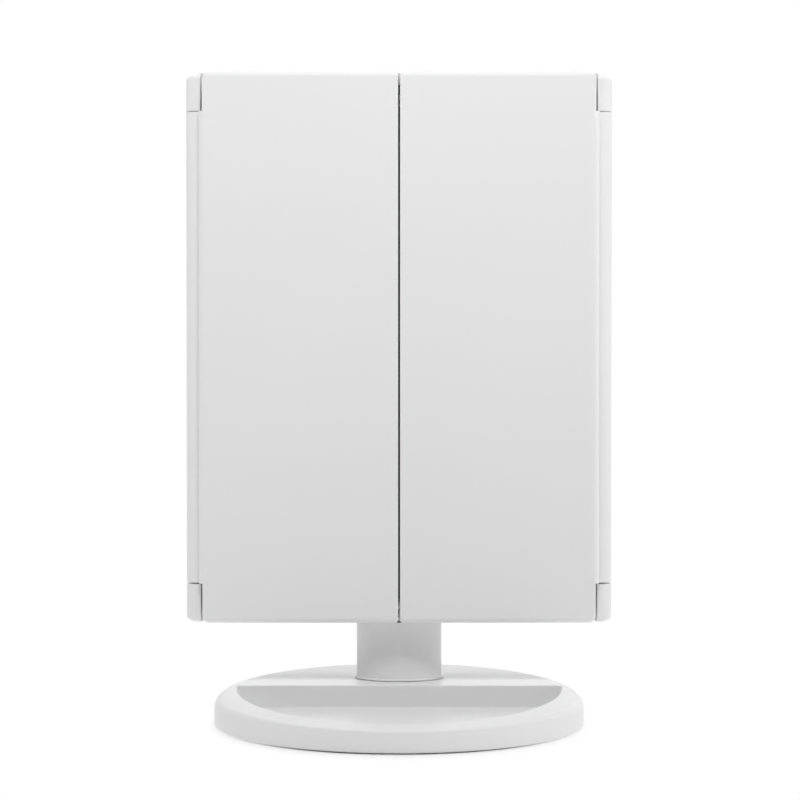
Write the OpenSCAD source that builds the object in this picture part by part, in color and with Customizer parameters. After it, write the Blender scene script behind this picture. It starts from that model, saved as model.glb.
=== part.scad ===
// Trifold vanity mirror: a lit mirror panel with two folding doors, on a neck
// that lets it tilt, and an oval base with a tray in it. The front faces -Y.

/* [Panel] */
// Width of the closed panel, across the hinge barrels
panel_w = 180; // [170:1:220]
// Height of the doors and of the body behind them
panel_h = 232; // [220:1:300]
// Height of the panel's underside above the table
panel_z = 40; // [39:0.5:60]
// How far the doors' outer faces stand behind the middle of the base
face_y = 9.5; // [6:0.5:11]
// Depth of the body behind the doors
body_t = 21.6; // [21:0.2:28]
// Depth of the frame that carries the centre mirror
frame_t = 6; // [5.6:0.1:7]
// Wall of the body's rear cover
wall = 2; // [1.6:0.1:2.4]
// Width of the body's rounded corners, seen from the front
corner_w = 6.3; // [4:0.1:8]
// Height of the body's rounded corners, seen from the front
corner_h = 2.9; // [2:0.1:4]
// Radius of the body's corners beside the caps
side_r = 2; // [1:0.5:4]
// Radius of the body's rear edge
rear_r = 5; // [3:0.5:7]

/* [Doors] */
// Thickness of a door, from its outer face to its mirror
door_t = 8.1; // [7.8:0.1:10]
// Gap between the two doors, and between a door and the body
door_gap = 0.8; // [0.6:0.1:1.2]
// Radius of the doors' front edges
door_r = 2.7; // [1.5:0.1:3.2]
// Radius of a door's corners beside the corner caps
door_corner = 2.5; // [1:0.1:3]
// Wall of a door's outer shell
door_wall = 1.8; // [1.4:0.1:2]
// How far a door's side wall lies in from the panel's side
door_inset = 5.7; // [5:0.1:6]
// Width of the bezel round a door's mirror
bezel = 3.6; // [2:0.2:6]
// Share of the left door's height that its lower mirror takes
split = 0.5; // [0.35:0.05:0.6]

/* [Door hinges] */
// Radius of the hinge barrels and of the corner caps
hinge_r = 4.5; // [4.2:0.1:5]
// Height of the corner caps
cap_h = 16.3; // [15:0.1:22]
// Gap between a corner cap and the door's barrel
cap_gap = 0.5; // [0.3:0.1:0.8]
// Width of a cap that shows beside the door
cap_show = 7.4; // [7:0.1:8]
// Width of the slot between a corner cap and the door beside it
cap_slot = 0.7; // [0.3:0.1:0.8]
// Radius of the hinge pins
pin_r = 1.5; // [1.2:0.1:1.8]
// Length of a hinge pin
pin_l = 22; // [18:1:26]
// Radius of the bushes in the doors' barrels
bush_r = 2.6; // [2.4:0.1:2.9]

/* [Mirrors and lights] */
// Thickness of the mirror glass
glass_t = 2; // [1.8:0.1:2.2]
// Distance of the centre mirror's sides from the panel's sides
mirror_side = 13; // [12:0.5:20]
// Margin above and below the centre mirror
mirror_margin = 5; // [4:0.5:10]
// Radius of a light's lens
lens_r = 2.4; // [2:0.1:3]
// Number of lights down each side
side_lights = 8; // [5:1:9]
// Number of lights across the top
top_lights = 5; // [3:1:7]
// Distance between lights down a side
light_pitch = 21; // [14:0.5:22]
// Width of a light board
board_w = 9; // [8:0.5:10]
// Thickness of the circuit boards
board_t = 1.2; // [1:0.1:1.6]

/* [Neck and tilt hinge] */
// Width of the neck
neck_w = 36.5; // [32:0.5:36.8]
// Depth of the neck
neck_d = 16.5; // [16:0.5:17]
// Distance of the tilt axis behind the middle of the base
tilt_y = 31; // [30.6:0.1:31.2]
// Height of the tilt axis above the panel's underside
tilt_up = 11; // [10.5:0.5:13]
// Radius of the tilt shaft
shaft_r = 3; // [2.5:0.1:3.5]
// Radius of the knuckle at the top of the neck
knuckle_r = 6; // [5.5:0.1:6]
// Width of the pocket that the knuckle sits in
pocket_w = 38; // [38:0.5:44]
// Height of that pocket
pocket_h = 23; // [21:1:26]

/* [Base] */
// Width of the base
base_w = 153; // [146:1:190]
// Depth of the base
base_d = 120; // [116:1:150]
// Height of the deck over the middle of the base
base_h = 12.4; // [12.2:0.1:16]
// Angle by which the deck falls towards the front
deck_slope = 3; // [1:0.5:4]
// Thickness of the deck
deck_t = 2.2; // [2:0.1:2.4]
// Radius of the base's upper edge at the front
base_r = 1.2; // [1:0.1:3]
// Radius of the base's upper edge at the sides and the back
base_side_r = 4.8; // [2:0.1:5]
// Half width of the tray
tray_hw = 68; // [50:1:68]
// Distance from the tray's straight back to its front
tray_d = 63; // [45:1:63]
// Distance of the tray's back behind the middle of the base
tray_back = 14; // [8:0.5:14.5]
// Height of the tray's floor
tray_floor = 3.8; // [3.6:0.1:5]
// Height at which the base's skirt clears the table
skirt_z = 0.8; // [0.5:0.1:1]
// Thickness of the bottom plate
plate_t = 1.2; // [1:0.1:1.3]

/* [Power] */
// Radius of a battery
cell_r = 7.25; // [7:0.05:7.3]
// Length of a battery
cell_l = 50.5; // [48:0.5:52]
// Number of batteries, side by side
cells = 4; // [2:1:4]
// Height of the battery box above the panel's underside
box_up = 66; // [64:1:80]
// Distance of the switch and the inlet from the middle
outlet_x = 58; // [50:1:62]
// Height of the switch and the inlet above the panel's underside
outlet_up = 34; // [30:1:40]
// Travel of the switch knob
switch_travel = 4; // [2:0.5:4]

/* [Hidden] */
$fn = 48;
fit = 0.05;      // running clearance of a shaft or pin, on the radius
seat = 0.1;      // clearance of a piece in its seat
loose = 0.3;     // clearance of a piece that lifts out or slides
screw_r = 1.4;   // screw shank
head_r = 2.8;    // screw head
head_t = 1.6;    // height of a screw head

// Where the panel's layers lie, from front to back
axis_y = face_y + door_t + door_gap / 2;
door_y1 = face_y + door_t;
body_y0 = axis_y + door_gap / 2;
frame_y1 = body_y0 + frame_t;
body_y1 = body_y0 + body_t;
floor_y0 = body_y0 + glass_t;
floor_y1 = floor_y0 + 2;

// Widths and heights of the panel
panel_top = panel_z + panel_h;
hinge_x = panel_w / 2 - hinge_r;
door_x = panel_w / 2 - door_inset;
cap_x = panel_w / 2 - cap_show;
body_hw = 2 * hinge_x - door_x - 0.5;
barrel_z0 = panel_z + cap_h + cap_gap;
barrel_z1 = panel_top - cap_h - cap_gap;
mirror_hw = panel_w / 2 - mirror_side;
well_hw = mirror_hw - 3.2;                 // hollow at the back of the frame
well_z0 = panel_z + 6;
well_z1 = panel_top - 6;

// Doors: hollow of the shell, and the inner frame that fills it
hollow_x0 = door_gap / 2 + door_wall;
hollow_x1 = hinge_x - hinge_r - 1.2;
hollow_z0 = panel_z + door_wall;
hollow_z1 = panel_top - door_wall;
bezel_y0 = door_y1 - glass_t - door_wall;
bezel_floor = door_y1 - glass_t;
magnet_r = 3;
magnet_t = 2;
magnet_x = hollow_x0 + bezel + magnet_r + 1;
magnet_z = panel_top - 40;

// Lights
light_x = well_hw - 1 - board_w / 2;
side_z0 = panel_z + panel_h / 2 - (side_lights - 1) * light_pitch / 2 - 4;
top_z = well_z1 - 1 - board_w / 2;
top_pitch = 28;
side_spots = [for (k = [0:side_lights - 1]) side_z0 + k * light_pitch];
top_spots = [for (k = [0:top_lights - 1]) (k - (top_lights - 1) / 2) * top_pitch];
led_t = 0.7;
board_y = floor_y1 + loose + led_t;
touch_z = panel_z + mirror_margin + 10;
touch_r = 7;

control_y = board_y + 0.4;
control_z0 = panel_z + pocket_h + 6;
control_z1 = panel_z + box_up - 5;
control_hw = 28;
// Posts that carry the boards: x, z and the depth of the board's face
board_posts = [
    for (x = [-1, 1], z = [side_spots[0] - 5, side_spots[side_lights - 1] + 5]) [x * light_x, z, board_y],
    for (x = [-1, 1]) [x * top_pitch / 2, top_z, board_y],
    for (x = [-1, 1], z = [control_z0 + 3, control_z1 - 3]) [x * (control_hw - 3), z, control_y]
];

// Tilt hinge
tilt_z = panel_z + tilt_up;
pocket_hw = pocket_w / 2;
pocket_y0 = floor_y1 + 0.2 + wall;
pocket_top = panel_z + pocket_h;
knuckle_hw = pocket_hw - 0.6;
bracket_x0 = pocket_hw + wall + 0.2;
bracket_t = 2;
washer_t = 0.8;
nut_t = 2.6;
nut_r = 5.2;
bracket_h = 16;
bracket_foot = 13;
bracket_hole_x = bracket_x0 + 9;
bracket_holes = [-5, 5];
bracket_screw_r = 2.4;
bracket_foot_t = 1.5;

// Neck
neck_y = tilt_y - 1.75;
neck_top = panel_z - 1.4;
neck_wall = 2;
post_hw = neck_w / 2 - 6;
post_d = 7.6;
block_hw = 16;
block_d = 10;
block_drop = 1;          // how far the block reaches below the neck's shoulder
foot_hw = 24;
foot_d = 19;
foot_t = 2.4;
boss_drop = 4;
foot_x = foot_hw - 4;
foot_y = foot_d / 2 - 3.5;
neck_screw_z = [24, 32];

// Base
base_a = base_w / 2;
base_b = base_d / 2;
plate_z1 = skirt_z + plate_t;
skirt_wall = 2.4;
ballast_t = 8;
ballast_gap = 1;
rim_in = 5.2;            // from the base's outline to its side and front screws
screw_in_x = 18;
screw_in_y = 32;
screw_boss_r = 4;
screw_spots = [
    [base_a - rim_in, 0], [-base_a + rim_in, 0], [0, -base_b + rim_in + 0.4],
    [base_a - screw_in_x, base_b - screw_in_y], [screw_in_x - base_a, base_b - screw_in_y]
];
feet_in_x = 39;
feet_in_y = 18;
feet_spots = [for (x = [-1, 1], y = [-1, 1]) [x * (base_a - feet_in_x), y * (base_b - feet_in_y)]];
feet_r = 6.5;
feet_sink = 0.4;         // how far a foot is let into the bottom plate
screw_sink = 0.6;        // how far a screw's head is let into it
plate_screw_l = 5.2;

// Power
box_z0 = panel_z + box_up;
box_wall = 1.2;
cell_pitch = 2 * cell_r + 0.5;
contact_l = 4;
box_in_hw = cells * cell_pitch / 2 + 0.4;
box_in_h = cell_l + 2 * contact_l + 0.4;
box_hw = box_in_hw + box_wall;
box_h = box_in_h + 2 * box_wall;
cell_y = body_y1 - wall - seat - cell_r;
box_y0 = floor_y1 + seat;
box_in_y0 = cell_y - cell_r - seat;
box_y1 = body_y1 - wall + seat;
outlet_z = panel_z + outlet_up;
cover_spots = [for (x = [-1, 1], z = [well_z0 + 3, panel_z + panel_h / 2, well_z1 - 3])
    [x * (well_hw + 5), z]];
cover_sink = 6;          // depth of the wells for the rear cover's screws

shell_white = [0.90, 0.90, 0.91];
glass_grey = [0.72, 0.76, 0.80];
steel = [0.62, 0.63, 0.65];
board_green = [0.16, 0.42, 0.26];

// ---- Shapes that repeat ----

// A quarter of an ellipse, from angle a0
function corner(cx, cz, rx, rz, a0, steps = 6) =
    [for (i = [0:steps]) let (a = a0 + 90 * i / steps) [cx + rx * cos(a), cz + rz * sin(a)]];

// Outline of a rectangle with elliptical corners, anticlockwise
function soft_rect(x0, x1, z0, z1, rx, rz) = concat(
    corner(x1 - rx, z0 + rz, rx, rz, 270),
    corner(x1 - rx, z1 - rz, rx, rz, 0),
    corner(x0 + rx, z1 - rz, rx, rz, 90),
    corner(x0 + rx, z0 + rz, rx, rz, 180)
);

// The same outline as a ring of points that stands upright at depth y
function upright(outline, y) = [for (p = outline) [p[0], y, p[1]]];

// Outline of an ellipse, anticlockwise
function oval(a, b, n = 72) = [for (i = [0:n - 1]) [a * cos(360 * i / n), b * sin(360 * i / n)]];

// A closed solid through rings of equally many points. Each ring turns anticlockwise as seen
// from the side that the rings run to.
module loft(rings) {
    n = len(rings[0]);
    last = (len(rings) - 1) * n;
    sides = [
        for (k = [0:len(rings) - 2], i = [0:n - 1])
            let (j = (i + 1) % n, low = k * n, high = (k + 1) * n)
                each [[low + i, high + i, high + j], [low + i, high + j, low + j]]
    ];
    polyhedron(
        [for (ring = rings) each ring],
        concat([[for (i = [0:n - 1]) i]], [[for (i = [n - 1:-1:0]) last + i]], sides)
    );
}

// An upright plate between depths y0 and y1, from an outline in X and Z
module slab(y0, y1) {
    translate([0, y1, 0]) rotate([90, 0, 0]) linear_extrude(y1 - y0) children();
}

// An upright box
module box(x0, x1, y0, y1, z0, z1) {
    translate([x0, y0, z0]) cube([x1 - x0, y1 - y0, z1 - z0]);
}

// A rod along Y, from y0 to y1
module rod_y(x, z, y0, y1, r) {
    translate([x, y0, z]) rotate([-90, 0, 0]) cylinder(r = r, h = y1 - y0);
}

// A rod along X, from x0 to x1, on the tilt axis
module on_tilt(x0, x1, r, sides = $fn) {
    translate([x0, tilt_y, tilt_z]) rotate([0, 90, 0]) cylinder(r = r, h = x1 - x0, $fn = sides);
}

// Places its children in the deck's own slope, with z = 0 on the deck
module on_deck() {
    translate([0, 0, base_h]) rotate([deck_slope, 0, 0]) children();
}

// The hinge axis on each side, at height z
module at_hinge(side, z) {
    translate([side * hinge_x, axis_y, z]) children();
}

// ---- Base ----

function deck_z(y) = base_h + y * tan(deck_slope);

function base_ring(inset, z) = [for (p = oval(base_a - inset, base_b - inset)) [p[0], p[1], z]];

// Radius of the base's upper edge; share runs from 0 at the front to 1 at the side
function edge_r(share) = base_r + (base_side_r - base_r) * share * share * (3 - 2 * share);

// A ring of the base's rounded upper edge; turn runs from 0 at the side to 90 on the deck
function edge_ring(turn) = [for (i = [0:71]) let (
    a = 5 * i, r = edge_r(max(0, min(1, 1 + sin(a) / 0.8))), inset = r * (1 - cos(turn)),
    y = (base_b - inset) * sin(a)
) [(base_a - inset) * cos(a), y, deck_z(y) - r * (1 - sin(turn))]];

function tray_outline(grow = 0) = concat(
    [for (i = [0:36]) let (a = 180 + 5 * i)
        [(tray_hw + grow) * cos(a), tray_back + (tray_d + grow) * sin(a)]],
    grow == 0 ? [] : [[tray_hw + grow, tray_back + grow], [-tray_hw - grow, tray_back + grow]]
);

module base_tray() color(shell_white) difference() {
    loft([
        base_ring(1.2, skirt_z), base_ring(0.4, skirt_z + 0.5), base_ring(0, skirt_z + 1.4),
        for (turn = [0, 22, 45, 68, 90]) edge_ring(turn)
    ]);
    translate([0, 0, tray_floor]) linear_extrude(base_h * 2) polygon(tray_outline());
    // seat of the bottom plate
    translate([0, 0, -1]) linear_extrude(plate_z1 + 1 + seat)
        polygon(oval(base_a - skirt_wall, base_b - skirt_wall));
    // hollow under the deck, behind the tray
    difference() {
        intersection() {
            translate([0, 0, -1]) linear_extrude(base_h * 2)
                polygon(oval(base_a - skirt_wall - 1, base_b - skirt_wall - 1));
            on_deck() translate([-base_a, 0, -base_h * 2 - deck_t]) cube([base_w, base_b, base_h * 2]);
            box(-base_a, base_a, tray_back + deck_t, base_b, 0, base_h * 2);
        }
        for (p = screw_spots) translate([p[0], p[1], plate_z1 + seat])
            cylinder(r = screw_boss_r, h = base_h * 2);
        for (x = [-foot_x, foot_x], y = [-foot_y, foot_y]) on_deck()
            translate([x, neck_y + y, -deck_t - boss_drop]) cylinder(r = 3, h = base_h);
    }
    for (p = screw_spots) translate([p[0], p[1], 0]) cylinder(r = screw_r + fit, h = plate_z1 + 5.4);
    for (x = [-foot_x, foot_x], y = [-foot_y, foot_y]) on_deck()
        translate([x, neck_y + y, -base_h]) cylinder(r = screw_r + fit, h = base_h - 1);
    // opening for the neck's post
    box(-post_hw - loose, post_hw + loose, neck_y - post_d / 2 - loose, neck_y + post_d / 2 + loose,
        plate_z1, base_h * 2);
}

module base_plate() color([0.80, 0.80, 0.81]) difference() {
    translate([0, 0, skirt_z]) linear_extrude(plate_t)
        polygon(oval(base_a - skirt_wall - seat, base_b - skirt_wall - seat));
    for (p = screw_spots) translate([p[0], p[1], 0]) {
        cylinder(r = screw_r + loose, h = base_h);
        cylinder(r = head_r + loose, h = skirt_z + screw_sink);
    }
    for (p = feet_spots) translate([p[0], p[1], 0]) cylinder(r = feet_r + seat, h = skirt_z + feet_sink);
}

module base_feet() color([0.25, 0.25, 0.26])
    for (p = feet_spots) translate([p[0], p[1], 0]) cylinder(r = feet_r, h = skirt_z + feet_sink);

module base_screws() color(steel)
    for (p = screw_spots) translate([p[0], p[1], 0]) {
        translate([0, 0, skirt_z + screw_sink - 1]) cylinder(r = head_r, h = 1);
        translate([0, 0, skirt_z + screw_sink]) cylinder(r = screw_r, h = plate_screw_l);
    }

module base_ballast() color(steel) {
    reach = base_a - screw_in_x - screw_boss_r - ballast_gap;
    translate([0, 0, plate_z1]) linear_extrude(ballast_t) difference() {
        intersection() {
            polygon(oval(base_a - skirt_wall - 2, base_b - skirt_wall - 2));
            translate([-reach, tray_back + deck_t + ballast_gap]) square([2 * reach, base_d]);
        }
        translate([-foot_hw - 2, 0]) square([2 * foot_hw + 4, neck_y + foot_d / 2 + 2]);
    }
}

// ---- Neck ----

module neck_core() color(shell_white) difference() {
    union() {
        on_tilt(-knuckle_hw, knuckle_hw, knuckle_r);
        box(-block_hw, block_hw, tilt_y - block_d / 2, tilt_y + block_d / 2,
            neck_top - neck_wall - block_drop + seat, tilt_z);
        box(-post_hw, post_hw, neck_y - post_d / 2, neck_y + post_d / 2,
            deck_z(neck_y) - deck_t - boss_drop - foot_t / 2, neck_top - neck_wall - seat);
        on_deck() translate([-foot_hw, neck_y - foot_d / 2, -deck_t - boss_drop - seat - foot_t])
            cube([2 * foot_hw, foot_d, foot_t]);
    }
    on_tilt(-pocket_hw, pocket_hw, shaft_r + 0.02);
    for (z = neck_screw_z) rod_y(0, z, 0, base_b, screw_r + loose);
    for (x = [-foot_x, foot_x], y = [-foot_y, foot_y]) on_deck()
        translate([x, neck_y + y, -base_h]) cylinder(r = screw_r + loose, h = base_h * 2);
}

// The neck's oval tube with its shoulder; the deck cuts its foot
module neck_tube() {
    difference() {
        union() {
            translate([0, neck_y, 0]) linear_extrude(neck_top) polygon(oval(neck_w / 2, neck_d / 2));
            on_deck() translate([0, neck_y, 0]) linear_extrude(2)
                polygon(oval(neck_w / 2 + 0.8, neck_d / 2 + 0.8));
        }
        translate([0, neck_y, -1]) linear_extrude(neck_top - neck_wall + 1)
            polygon(oval(neck_w / 2 - neck_wall, neck_d / 2 - neck_wall));
        on_deck() translate([-neck_w, 0, -base_h * 2]) cube([2 * neck_w, base_d, base_h * 2 + 0.02]);
        box(-block_hw - seat, block_hw + seat, tilt_y - block_d / 2 - seat, tilt_y + block_d / 2 + seat,
            neck_top - neck_wall - block_drop, neck_top + 1);
    }
}

module neck_front_shell() color(shell_white) difference() {
    union() {
        difference() {
            neck_tube();
            box(-neck_w, neck_w, neck_y, base_b, 0, panel_z);
        }
        for (z = neck_screw_z) rod_y(0, z, neck_y - neck_d / 2 + 1, neck_y - post_d / 2 - seat, 3);
    }
    for (z = neck_screw_z) rod_y(0, z, neck_y - neck_d / 2 + 1.6, neck_y, screw_r + fit);
}

module neck_rear_shell() color(shell_white) difference() {
    neck_tube();
    box(-neck_w, neck_w, 0, neck_y + seat, 0, panel_z);
    for (z = neck_screw_z) {
        rod_y(0, z, neck_y, base_b, screw_r + loose);
        rod_y(0, z, neck_y + neck_d / 2 - 1.2, base_b, head_r + loose);
    }
}

module neck_screws() color(steel) for (z = neck_screw_z) {
    rod_y(0, z, neck_y - neck_d / 2 + 2, neck_y + neck_d / 2 - 1, screw_r);
    rod_y(0, z, neck_y + neck_d / 2 - 1.2, neck_y + neck_d / 2 - 0.1, head_r);
}

module neck_foot_screws() color(steel)
    for (x = [-foot_x, foot_x], y = [-foot_y, foot_y]) on_deck()
        translate([x, neck_y + y, -deck_t - boss_drop - seat - foot_t - head_t]) {
            cylinder(r = head_r, h = head_t);
            cylinder(r = screw_r, h = head_t + foot_t + boss_drop);
        }

// ---- Tilt hinge ----

module tilt_shaft() color(steel) {
    end = bracket_x0 + bracket_t + washer_t + nut_t + 0.8;
    on_tilt(-end, end, shaft_r);
}

module tilt_washers() color([0.85, 0.82, 0.70]) for (side = [0, 1]) mirror([side, 0, 0]) difference() {
    x0 = bracket_x0 + bracket_t + seat;
    on_tilt(x0, x0 + washer_t, nut_r + 0.6);
    on_tilt(x0 - 1, x0 + washer_t + 1, shaft_r + fit);
}

module tilt_nuts() color(steel) for (side = [0, 1]) mirror([side, 0, 0]) difference() {
    x0 = bracket_x0 + bracket_t + seat + washer_t;
    on_tilt(x0, x0 + nut_t, nut_r, 6);
    on_tilt(x0 - 1, x0 + nut_t + 1, shaft_r + 0.02);
}

module tilt_brackets() color(steel) for (side = [0, 1]) mirror([side, 0, 0]) difference() {
    z0 = tilt_z - bracket_h / 2;
    union() {
        box(bracket_x0, bracket_x0 + bracket_t, floor_y1 + seat, tilt_y + 6, z0, z0 + bracket_h);
        box(bracket_x0, bracket_x0 + bracket_foot, floor_y1 + seat, floor_y1 + seat + bracket_foot_t,
            z0, z0 + bracket_h);
    }
    on_tilt(bracket_x0 - 1, bracket_x0 + bracket_t + 1, shaft_r + fit);
    for (z = bracket_holes) rod_y(bracket_hole_x, tilt_z + z, floor_y0, frame_y1, screw_r + loose);
}

module bracket_screws() color(steel) for (side = [-1, 1], z = bracket_holes) {
    y = floor_y1 + seat + bracket_foot_t;
    rod_y(side * bracket_hole_x, tilt_z + z, y, y + 1.4, bracket_screw_r);
    rod_y(side * bracket_hole_x, tilt_z + z, floor_y0 + 0.6, y + 0.1, screw_r);
}

// ---- Head ----

module front_frame() color(shell_white) {
    frame_plate();
    for (p = board_posts) rod_y(p[0], p[1], floor_y1 - 0.1, p[2] - 0.02, 1.8);
}

module frame_plate() difference() {
    intersection() {
        union() {
            slab(body_y0, frame_y1) polygon(soft_rect(-body_hw, body_hw, panel_z, panel_top, side_r, side_r));
            for (side = [-1, 1], z = [panel_z, panel_top - cap_h])
                at_hinge(side, z) cylinder(r = hinge_r, h = cap_h);
        }
        slab(face_y, body_y1)
            polygon(soft_rect(-panel_w / 2, panel_w / 2, panel_z, panel_top, corner_w, corner_h));
    }
    // slots beside the caps, room for the doors' barrels, and bores for their pins
    box(-cap_x - cap_slot, cap_x + cap_slot, face_y - 1, body_y0, panel_z - 1, panel_top + 1);
    for (side = [-1, 1]) at_hinge(side, panel_z + cap_h) cylinder(r = hinge_r + 0.5, h = panel_h - 2 * cap_h);
    for (side = [-1, 1]) {
        at_hinge(side, panel_z + cap_h - pin_l / 2) cylinder(r = pin_r + 0.02, h = pin_l);
        at_hinge(side, panel_top - cap_h - pin_l / 2) cylinder(r = pin_r + 0.02, h = pin_l);
    }
    // seat of the glass, and the hollow behind its floor
    slab(body_y0 - 1, floor_y0) polygon(soft_rect(-mirror_hw - seat, mirror_hw + seat,
        panel_z + mirror_margin - seat, panel_top - mirror_margin + seat, 2, 2));
    box(-well_hw, well_hw, floor_y1, frame_y1 + 1, well_z0, well_z1);
    box(-pocket_hw - wall - loose, pocket_hw + wall + loose, floor_y1, frame_y1 + 1,
        panel_z - 1, well_z0 + 1);
    box(-bracket_x0 - bracket_foot - loose, bracket_x0 + bracket_foot + loose, floor_y1, frame_y1 + 1,
        tilt_z - bracket_h / 2 - loose, well_z0 + 1);
    at_lights() cylinder(r = lens_r + seat, h = glass_t + 4);
    rod_y(0, touch_z, floor_y0 - 1, floor_y0 + 1.4, touch_r + seat);
    for (p = cover_spots) rod_y(p[0], p[1], floor_y0 + 0.8, frame_y1 + 1, screw_r + fit);
    for (side = [-1, 1], z = bracket_holes)
        rod_y(side * bracket_hole_x, tilt_z + z, floor_y0 + 0.5, floor_y1 + 1, screw_r + fit);
}

// Its children stand on the glass's back at every light, and point to the rear
module at_lights() {
    for (side = [-1, 1], z = side_spots) translate([side * light_x, body_y0 - 1, z])
        rotate([-90, 0, 0]) children();
    for (x = top_spots) translate([x, body_y0 - 1, top_z]) rotate([-90, 0, 0]) children();
}

module centre_mirror() color(glass_grey) difference() {
    slab(body_y0, floor_y0) polygon(soft_rect(-mirror_hw, mirror_hw,
        panel_z + mirror_margin, panel_top - mirror_margin, 2, 2));
    at_lights() cylinder(r = lens_r + seat, h = glass_t + 2);
}

module led_windows() color([0.98, 0.97, 0.94])
    at_lights() translate([0, 0, 1]) cylinder(r = lens_r, h = floor_y1 - body_y0);

module leds() color([0.95, 0.88, 0.45])
    at_lights() translate([-1.75, -1.75, board_y - led_t - body_y0 + 1]) cube([3.5, 3.5, led_t]);

module side_board(side) color(board_green)
    box(min(side * (light_x - board_w / 2), side * (light_x + board_w / 2)),
        max(side * (light_x - board_w / 2), side * (light_x + board_w / 2)),
        board_y, board_y + board_t, side_spots[0] - 7, side_spots[side_lights - 1] + 7);

module led_board_left() side_board(-1);
module led_board_right() side_board(1);

module led_board_top() color(board_green) {
    reach = min(top_spots[top_lights - 1] + 7, light_x - board_w / 2 - 1);
    box(-reach, reach, board_y, board_y + board_t, top_z - board_w / 2, top_z + board_w / 2);
}

module touch_pad() color([0.75, 0.60, 0.35]) rod_y(0, touch_z, floor_y0 + 0.1, floor_y0 + 1.3, touch_r);

module rear_cover() color(shell_white) difference() {
    union() {
        difference() {
            rear_shape();
            slab(frame_y1 - 1, body_y1 - wall) polygon(soft_rect(-body_hw + wall, body_hw - wall,
                panel_z + wall, panel_top - wall, 3, 3));
        }
        box(-pocket_hw - wall, pocket_hw + wall, floor_y1 + 0.2, body_y1 - wall, panel_z, pocket_top + wall);
        for (p = cover_spots) rod_y(p[0], p[1], frame_y1, body_y1 - 1, 3.6);
        // posts that carry the inlet's board and the switch
        box(outlet_x - 6, outlet_x + 6, frame_y1 + 4, body_y1 - wall + 0.1,
            outlet_z - 4.2, outlet_z - 2.4);
        box(-outlet_x - 7, -outlet_x + 7, frame_y1 + 4, body_y1 - wall + 0.1,
            outlet_z - 5.6, outlet_z - 3.6);
    }
    box(-pocket_hw, pocket_hw, pocket_y0, body_y1 + 1, panel_z - 1, pocket_top);
    on_tilt(-bracket_x0, bracket_x0, shaft_r + loose);
    for (p = cover_spots) {
        rod_y(p[0], p[1], frame_y1 - 1, body_y1 + 1, screw_r + loose);
        rod_y(p[0], p[1], body_y1 - cover_sink, body_y1 + 1, head_r + loose);
    }
    box(-box_hw - 0.2, box_hw + 0.2, body_y1 - wall - 1, body_y1 + 1, box_z0 - 0.2, box_z0 + box_h + 0.2);
    box(outlet_x - 4.3, outlet_x + 4.3, body_y1 - wall - 1, body_y1 + 1, outlet_z - 1.7, outlet_z + 1.7);
    box(-outlet_x - 2 - switch_travel / 2 - loose, -outlet_x + 2 + switch_travel / 2 + loose,
        body_y1 - wall - 1, body_y1 + 1, outlet_z - 2 - loose, outlet_z + 2 + loose);
}

// Outer shape of the rear cover, with its rounded rear edge
module rear_shape() loft([
    for (turn = [90, 68, 45, 22, 0])
        let (inset = rear_r * (1 - cos(turn)), y = body_y1 - rear_r * (1 - sin(turn)))
            upright(soft_rect(-body_hw + inset, body_hw - inset, panel_z + inset, panel_top - inset,
                side_r, side_r), y),
    upright(soft_rect(-body_hw, body_hw, panel_z, panel_top, side_r, side_r), frame_y1)
]);

module control_board() color(board_green)
    box(-control_hw, control_hw, control_y, control_y + board_t, control_z0, control_z1);

module control_chips() color([0.15, 0.15, 0.16]) {
    y = control_y + board_t;
    z = (control_z0 + control_z1) / 2;
    box(-6, 6, y, y + 1.6, z - 5, z + 5);
    box(12, 18, y, y + 1.4, z - 3, z + 3);
    translate([-18, y, z]) rotate([-90, 0, 0]) cylinder(r = 3, h = 6);
}

module usb_board() color(board_green)
    box(outlet_x - 7, outlet_x + 7, frame_y1 + 3, body_y1 - wall - loose, outlet_z - 2.4 + 0.02,
        outlet_z - 2.4 + board_t);

module usb_socket() color(steel) difference() {
    z0 = outlet_z - 2.4 + board_t;
    box(outlet_x - 4, outlet_x + 4, body_y1 - 7, body_y1 - 0.3, z0, z0 + 2.6);
    box(outlet_x - 3.5, outlet_x + 3.5, body_y1 - 5, body_y1 + 1, z0 + 0.5, z0 + 2.1);
}

module switch_body() color([0.20, 0.20, 0.21])
    box(-outlet_x - 6.5, -outlet_x + 6.5, body_y1 - 9.6, body_y1 - 3.2, outlet_z - 3.6 + 0.02, outlet_z + 3);

module battery_box() color([0.80, 0.80, 0.81]) difference() {
    box(-box_hw, box_hw, box_y0, box_y1, box_z0, box_z0 + box_h);
    box(-box_in_hw, box_in_hw, box_in_y0, body_y1, box_z0 + box_wall, box_z0 + box_h - box_wall);
}

cell_z0 = box_z0 + box_wall + 0.2 + contact_l;
cell_xs = [for (k = [0:cells - 1]) (k - (cells - 1) / 2) * cell_pitch];

module batteries() color([0.30, 0.42, 0.36]) for (x = cell_xs) translate([x, cell_y, cell_z0]) {
    cylinder(r = cell_r, h = cell_l - 1.2);
    cylinder(r = 2.6, h = cell_l);
}

module battery_contacts() color(steel) for (x = cell_xs, end = [0, 1]) {
    z = end == 0 ? cell_z0 - contact_l : cell_z0 + cell_l;
    translate([x, cell_y, z]) cylinder(r = 3.4, h = contact_l);
    plate_z = end == 0 ? z : z + contact_l - 0.4;
    box(x - 5, x + 5, cell_y - 5, cell_y + 5, plate_z, plate_z + 0.4);
}

module hinge_pins() color(steel) for (side = [-1, 1]) {
    at_hinge(side, panel_z + cap_h - pin_l / 2 + 0.1) cylinder(r = pin_r, h = pin_l);
    at_hinge(side, panel_top - cap_h - pin_l / 2 - 0.1) cylinder(r = pin_r, h = pin_l);
}

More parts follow.
